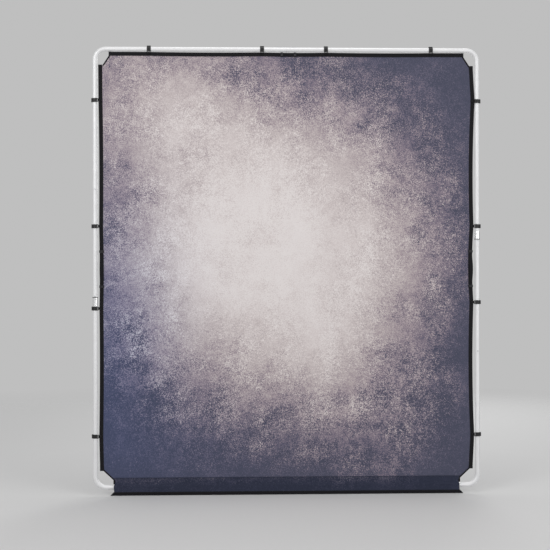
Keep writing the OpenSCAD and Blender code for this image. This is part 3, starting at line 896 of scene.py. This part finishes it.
def loopLine(kind, side, low, high):
    line, lifts = [], []
    for i in range(loop["steps"] + 1):
        s = low + (high - low) * i / loop["steps"]
        free = (high - low) / 2 - loop["tail"] - loop["tackTall"] / 2
        t = min(1.0, abs(s - (low + high) / 2) / free)
        arch = (1 + math.cos(math.pi * t)) / 2
        if kind == "side":
            bow = side * loop["bow"] * arch * loop["bowShare"][side]
            line.append((sideEdge(side, s) + bow, s, -side, 0))
        else:
            line.append((s, topEdge(s), 0, -1))
        lifts.append(loop["rise"] * (high - low) / loop["riseLength"] * arch)
    return line, lifts


def makeTack(name, line, at, body):
    # a dense bar of thread over the end of a loop
    x, z, inX, inZ = line[at]
    along = (0, 1) if inX else (1, 0)
    top = border["thick"] + loop["thick"]
    segments = []
    random.seed(name)
    over = (loop["tackWide"] - borderWide) / 2
    for i in range(loop["threads"]):
        off = (i / (loop["threads"] - 1) - 0.5) * loop["tackTall"]
        jitter = random.uniform(-0.5, 0.5) * mm
        px, pz = x + along[0] * off, z + along[1] * off
        ends = (-over + jitter, borderWide + over + jitter)
        segments.append([tuple(onCloth(px + inX * a, pz + inZ * a, top + 0.4 * mm)) for a in ends])
    bar = beads(name, segments, loop["threadThick"])
    # a rolled pad of webbing under the threads
    half = loop["tackTall"] / 2
    pad = [(x + along[0] * off * half, z + along[1] * off * half, inX, inZ) for off in loop["padRings"]]
    roll = layTape(name + "_pad", pad, loop["tackWide"] - 1 * mm, loop["padThick"],
                   lift=top - 1.2 * mm, shift=-over + 0.5 * mm)
    return placeSewn((bar, roll), body)


def makeLoops():
    made = []
    spots = []
    for word, side in sides:
        low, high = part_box(word + "_pull_loop")
        spots.append((word + "_pull_loop", "side", side, low.z, high.z, [word + "_pull_loop"]))
    low, high = joined("top_pull_loop_left", "top_pull_loop_right")
    spots.append(("top_pull_loop", "top", 0, low.x, high.x, ["top_pull_loop_left", "top_pull_loop_right"]))
    for name, kind, side, start, end, nodes in spots:
        line, lifts = loopLine(kind, side, start, end)
        strap = layTape(name + "_strap", line, loop["wide"], loop["thick"],
                        lift=border["thick"] + border["lift"], lifts=lifts,
                        shift=(borderWide - loop["wide"]) / 2)
        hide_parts(*nodes)
        made.append(strap)
        at = round(loop["steps"] * loop["tail"] / (end - start))
        bodies = ("left_half", "right_half") if kind == "top" else (name.split("_")[0] + "_half",) * 2
        made += makeTack(name + "_first_tack", line, at, bodies[0])
        made += makeTack(name + "_last_tack", line, loop["steps"] - at, bodies[1])
        if kind == "top":
            across(strap, loop["foldReach"])
        else:
            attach(strap, bodies[0])
    return made


loopPieces = makeLoops()
print("pull loops", len(loopPieces), "pieces")


# clip straps: webbing round the bar of each clip, sewn to the border

strap = dict(
    wide=14 * mm, thick=1.0 * mm, bar=17.75 * mm, front=14.6 * mm, back=12.4 * mm, tail=14 * mm,
    turnDeep=1.45 * mm, turnHigh=1.75 * mm,          # the turn round the clip's bar
    boxHalf=5 * mm, boxIn=2.5 * mm, boxOut=3 * mm, stitchStep=2.8 * mm, stitchThick=0.34 * mm,
)


def spotOn(kind, side, at):
    # a clip's own directions: out from the cloth, to the front, along the tube
    if kind == "top":
        return lambda u, v, w: Vector((at + w, -v, topZ + u))
    if kind == "bottom":
        return lambda u, v, w: Vector((at + w, -v, bottomZ - u))
    return lambda u, v, w: Vector((side * (tubeX + u), -v, at + w))


def strapPath(reach):
    half = strap["thick"] / 2
    under = border["thick"] - coverLow.y + half
    bar = strap["bar"]
    middle = (strap["front"] + strap["back"]) / 2
    path = [(-reach - strap["tail"], under), (-reach - 4 * mm, under), (-bar - 2.2 * mm, under + 0.05 * mm)]
    for angle in range(-120, 121, 30):
        a = math.radians(angle)
        path.append((-bar + strap["turnDeep"] * math.cos(a), middle + strap["turnHigh"] * math.sin(a)))
    top = under + strap["thick"] + 0.1 * mm
    return path + [(-bar - 2.4 * mm, top + 0.5 * mm), (-reach - 5 * mm, top),
                   (-reach - strap["tail"] + 0.8 * mm, top)]


def makeStraps():
    made = []
    reaches = dict(top=topZ - coverHigh.z, bottom=coverLow.z - bottomZ, side=tubeX - halfWide)
    half, t = strap["wide"] / 2, strap["thick"] / 2
    section = [(-half + t, -t), (half - t, -t), (half, -t / 2), (half, t / 2),
               (half - t, t), (-half + t, t), (-half, t / 2), (-half, -t / 2)]
    for word, side in sides:
        spots = [("side", z) for z in sideClips[side]]
        spots += [("top", x) for x in topClips if x * side > 0]
        spots += [("bottom", x) for x in bottomClips if x * side > 0]
        points, faces, laid, stitches = [], [], [], []
        for kind, at in spots:
            spot = spotOn(kind, side, at)
            path = strapPath(reaches[kind])
            base, run = len(points), 0.0
            for i, (u, v) in enumerate(path):
                before, after = path[max(0, i - 1)], path[min(len(path) - 1, i + 1)]
                du, dv = after[0] - before[0], after[1] - before[1]
                size = math.hypot(du, dv)
                nu, nv = dv / size, -du / size
                if i:
                    run += math.hypot(u - path[i - 1][0], v - path[i - 1][1])
                for w, up in section:
                    points.append(spot(u + nu * up, v + nv * up, w))
                    laid.append((run, w, up))
            faces += loftFaces(len(path), len(section), base)
            # a box of stitches with a cross in it
            inner = -reaches[kind] - strap["tail"] + strap["boxIn"]
            outer = -reaches[kind] - strap["boxOut"]
            top, w = path[-1][1] + t + 0.05 * mm, strap["boxHalf"]
            corners = [(inner, -w), (inner, w), (outer, w), (outer, -w),
                       (inner, -w), (outer, w), (inner, w), (outer, -w)]
            for (u1, w1), (u2, w2) in zip(corners, corners[1:]):
                count = max(2, round(math.hypot(u2 - u1, w2 - w1) / strap["stitchStep"]))
                for k in range(count):
                    ends = (k + 0.12) / count, (k + 0.88) / count
                    stitches.append([tuple(spot(u1 + (u2 - u1) * q, top, w1 + (w2 - w1) * q)) for q in ends])
        band = newPiece(word + "_clip_strap_webbing", points, faces, paint["webbing"], laid)
        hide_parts(word + "_clip_straps")
        thread = beads(word + "_clip_strap_stitching", stitches, strap["stitchThick"])
        made += placeSewn((band, thread), word + "_half")
    return made


strapPieces = makeStraps()
print("clip straps", len(strapPieces), "pieces")


# skirt and hem

skirt = dict(
    cell=6 * mm, thick=0.9 * mm, drawIn=7 * mm,
    # creases: from x, z to x, z in metres, then half width and depth towards the front in mm
    creases=[(-0.890, 0.078, -0.800, 0.030, 5, 2.2), (-0.885, 0.060, -0.845, 0.028, 4, -1.6),
             (-0.840, 0.084, -0.700, 0.060, 4, 1.5), (-0.760, 0.050, -0.600, 0.040, 5, 1.3),
             (0.885, 0.070, 0.700, 0.062, 3, 1.6), (0.885, 0.048, 0.640, 0.052, 4, 1.5),
             (0.520, 0.074, 0.300, 0.066, 4, 1.2), (0.250, 0.045, 0.020, 0.052, 5, 1.2),
             (-0.100, 0.072, -0.330, 0.064, 4, 1.2), (-0.380, 0.050, -0.560, 0.056, 5, 1.0)],
    randomCreases=26,
    cool=0.9, curls=0.2,
    lipRings=8, lipDeep=0.9 * mm, lipHigh=2.0 * mm, lipDrop=1.6 * mm, stitchDrop=6 * mm, stitchThick=0.34 * mm,
    turnIn=0.10,         # length of the flat cloth, with its turn-in at the seam and the hem
)
hem = dict(thick=1.3 * mm, tall=17 * mm, flare=17 * mm, step=0.012,
           stitchStep=4 * mm, stitchLong=3 * mm, stitchRows=(0.9, 0.14))


def creaseDepth(creases, x, z):
    total = 0.0
    for x1, z1, x2, z2, width, depth in creases:
        dx, dz = x2 - x1, z2 - z1
        size = math.hypot(dx, dz)
        along = ((x - x1) * dx + (z - z1) * dz) / size
        if along < -0.02 or along > size + 0.02:
            continue
        offset = abs((x - x1) * dz - (z - z1) * dx) / size
        if offset > 3 * width * mm:
            continue
        ends = smoothStep(along / (0.25 * size) + 0.2) * smoothStep((size - along) / (0.25 * size) + 0.2)
        total += depth * mm * ends * math.exp(-(offset / (width * mm)) ** 2)
    return total


def allCreases():
    random.seed(12)
    creases = list(skirt["creases"])
    for _ in range(skirt["randomCreases"]):
        x = random.uniform(-0.85, 0.85)
        z = random.uniform(0.030, 0.080)
        long = random.uniform(0.05, 0.20)
        creases.append((x, z, x + long, z + random.uniform(-0.012, 0.012), random.uniform(2, 5),
                        random.uniform(-0.5, 0.9)))
    return creases


skirtCreases = allCreases()


def skirtY(x, z):
    # front face of the skirt: from the seam out over the clips to its foot
    t = (skirtHigh.z - z) / skirtTall
    seamY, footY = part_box("bottom_webbing_left")[0].y - 1.3 * mm, skirtLow.y
    lean = seamY + (footY - seamY) * (0.85 * t + 0.15 * smoothStep(t * 1.3))
    middle = math.sin(math.pi * min(1, max(0, t)))
    wave = noise.noise(Vector((x * 5.0, 4.2, z * 6))) * 1.6 * mm * middle
    return lean - (creaseDepth(skirtCreases, x, z) + wave * 0.8) * (0.25 + 0.75 * middle)


def skirtEnd(side, z):
    # the ends of the skirt run in and out a little, and draw in where the border's end shows
    t = (skirtHigh.z - z) / skirtTall
    drawn = skirt["drawIn"] * math.exp(-((z - coverLow.z - borderWide / 2) / (0.6 * borderWide)) ** 2)
    return side * (skirtHigh.x - 1.2 * mm + 1.6 * mm * math.sin(6 * t + side) - drawn)


def skirtX(z, i, nx):
    return skirtEnd(-1, z) + (skirtEnd(1, z) - skirtEnd(-1, z)) * i / nx


def skirtTone(x, z):
    # the skirt's tone is darker down the skirt and towards its right end
    return 0.04 + 0.10 * smoothStep((z - 0.04) / 0.05) * (0.5 - 0.5 * math.tanh(6 * (x - 0.55)))


def levelStitches(z, start, stop, lift):
    row, x = [], start
    while x < stop:
        y = skirtY(x, z) - lift
        row.append([(x, y, z), (x + hem["stitchLong"], y, z)])
        x += hem["stitchStep"]
    return row


def makeSkirt():
    nx = 2 * round(skirtHigh.x / skirt["cell"])
    nz = round(skirtTall / (skirt["cell"] * 0.6))
    front, back = [], []
    for j in range(nz + 1):
        z = skirtLow.z + 1 * mm + (skirtTall - 1 * mm) * j / nz
        for i in range(nx + 1):
            x = skirtX(z, i, nx)
            y = skirtY(x, z)
            front.append((x, y, z))
            back.append((x, y + skirt["thick"], z))
    count, wide = len(front), nx + 1
    faces = gridFaces(nx, nz)
    rim = list(range(nx)) + [nx + j * wide for j in range(nz)]
    rim += [nz * wide + i for i in range(nx, 0, -1)] + [j * wide for j in range(nz, 0, -1)]
    faces += [tuple(count + k for k in reversed(f)) for f in faces]
    faces += [(b, a, count + a, count + b) for a, b in zip(rim, rim[1:] + rim[:1])]
    obj = newPiece("skirt_cloth", front + back, faces, paint["skirt"])
    obj.data.materials.append(paint["back"])
    for face in obj.data.polygons[nx * nz:2 * nx * nz]:
        face.material_index = 1
    paintField(obj, "tone", [skirtTone(p[0], p[2]) for p in front + back])
    for name in ("cool", "curls"):
        paintField(obj, name, [skirt[name]] * (2 * count))
    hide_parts("skirt_left", "skirt_right")
    placeSewn([obj])
    # the seam: a rolled lip and its stitches
    lip = []
    ring = skirt["lipRings"]
    for i in range(nx + 1):
        x = skirtX(skirtHigh.z, i, nx)
        for k in range(ring):
            a = math.tau * k / ring
            y = skirtY(x, skirtHigh.z) + skirt["thick"] / 2 + skirt["lipDeep"] * math.cos(a)
            lip.append((x, y, skirtHigh.z - skirt["lipDrop"] + skirt["lipHigh"] * math.sin(a)))
    roll = newPiece("skirt_seam_roll", lip, loftFaces(nx + 1, ring), paint["skirt"], lip)
    for name, value in (("tone", 0.0), ("cool", skirt["cool"]), ("curls", 0.0)):
        paintField(roll, name, [value] * len(lip))
    z = skirtHigh.z - skirt["stitchDrop"]
    stitches = levelStitches(z, skirtEnd(-1, z), skirtEnd(1, z) - hem["stitchLong"], 0.15 * mm)
    thread = beads("skirt_seam_stitching", stitches, skirt["stitchThick"])
    return obj, placeSewn((roll, thread))


skirtCloth, skirtTrim = makeSkirt()


def makeHem():
    # tape folded round the skirt's foot, with mitred ends that flare past the skirt
    top, foot = hemLow.z + hem["tall"], hemLow.z - 0.8 * mm
    count = 2 * round(hemHigh.x / hem["step"])
    thick = hem["thick"]
    outline = [("front", h, thick) for h in (1, 0.75, 0.5, 0.25, 0.06)]
    outline += [("foot", 0, t) for t in (thick * 0.6, -thick * 1.4)]
    outline += [("back", h, 0) for h in (0.08, 0.3, 0.5)] + [("back", 0.5, -thick * 0.6)]
    points, laid = [], []
    for i in range(count + 1):
        s = -1 + 2 * i / count
        for part, h, depth in outline:
            z = foot + (top - foot) * h
            slant = hem["flare"] * (1 - h)
            x = s * (hemHigh.x - hem["flare"] + slant)
            base = skirtY(min(max(x, -skirtHigh.x), skirtHigh.x), max(z, skirtLow.z))
            if part == "front":
                y = base - depth
            elif part == "foot":
                y, z = base - depth, z + 0.3 * mm
            else:
                y = base + skirt["thick"] + thick * 0.9 + depth
            points.append((x, y, z))
            laid.append((x, h * 0.023 + (0.03 if part == "back" else 0), 0))
    tape = newPiece("hem_tape", points, loftFaces(count + 1, len(outline)), paint["hem"], laid)
    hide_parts("hem_left", "hem_right")
    stitches = []
    inner = hemHigh.x - hem["flare"]
    for h in hem["stitchRows"]:
        stitches += levelStitches(foot + (top - foot) * h, 2 * mm - inner, inner - 4 * mm, thick + 0.1 * mm)
    thread = beads("hem_stitching", stitches, skirt["stitchThick"])
    return placeSewn((tape, thread))


hemPieces = makeHem()
print("skirt and hem ready")


# button springs: each bent strip is a copy of its CAD part, riding on its half

spring = dict(keep=0.72, eased=0.1 * mm)         # keep: a spring's thickness under a button that is fully in


def makeSprings():
    made = []
    for word in ("left_high", "left_low", "right_high", "right_low"):
        strip = addObject(word + "_bent_spring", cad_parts[word + "_spring"].data.copy())
        for slot in strip.material_slots:
            slot.material = paint["steel"]
        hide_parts(word + "_spring")
        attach(strip, word.split("_")[0] + "_half")
        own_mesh(strip)
        made.append(strip)
    return made


springPieces = makeSprings()
print("button springs", len(springPieces), "pieces")


# pieces that keep their CAD shape: edges are eased and each gets its finish

def easeEdges(obj, width):
    modifier = obj.modifiers.new("eased_edges", "BEVEL")
    modifier.width, modifier.segments = width, 2
    modifier.limit_method, modifier.angle_limit = "ANGLE", math.radians(40)


def bothSides(*names):
    return [word + "_" + name for word, _ in sides for name in names]


finishes = dict(
    tube=bothSides("upper_tube", "middle_tube", "lower_tube"),
    collar=bothSides("collar"),
    steel=bothSides("spigots", "high_button", "low_button", "rivets")
    + [level + "_hinge_" + part for level in ("top", "bottom") for part in ("left_leaf", "right_leaf", "pin")],
    plastic=bothSides("top_clips", "side_clips", "bottom_clips"),
    plug=bothSides("collar_ring", "end_plugs"),
)
eased = dict(tube=0.3 * mm, collar=0.35 * mm, steel=0.25 * mm, plastic=0.5 * mm, plug=0.3 * mm)
for finish, names in finishes.items():
    for name in names:
        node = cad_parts[name]
        for slot in node.material_slots:
            slot.material = paint[finish]
        if not node.material_slots:
            node.data.materials.append(paint[finish])
        easeEdges(node, eased[finish])
for strip in springPieces:
    easeEdges(strip, spring["eased"])
print("CAD pieces finished")


def makeFloor():
    points = [(0, 0, 0)]
    rings, spokes = floor["rings"], floor["spokes"]
    for j in range(rings):
        r = floor["radius"] * (j + 1) / rings
        for i in range(spokes):
            a = math.tau * i / spokes
            points.append((r * math.cos(a), r * math.sin(a), 0))
    faces = [(0, 1 + i, 1 + (i + 1) % spokes) for i in range(spokes)]
    for j in range(rings - 1):
        a, b = 1 + j * spokes, 1 + (j + 1) * spokes
        faces += [(a + i, b + i, b + (i + 1) % spokes, a + (i + 1) % spokes) for i in range(spokes)]
    ground = newPiece("floor", points, faces, makeFloorFinish())


makeFloor()
print("floor ready")
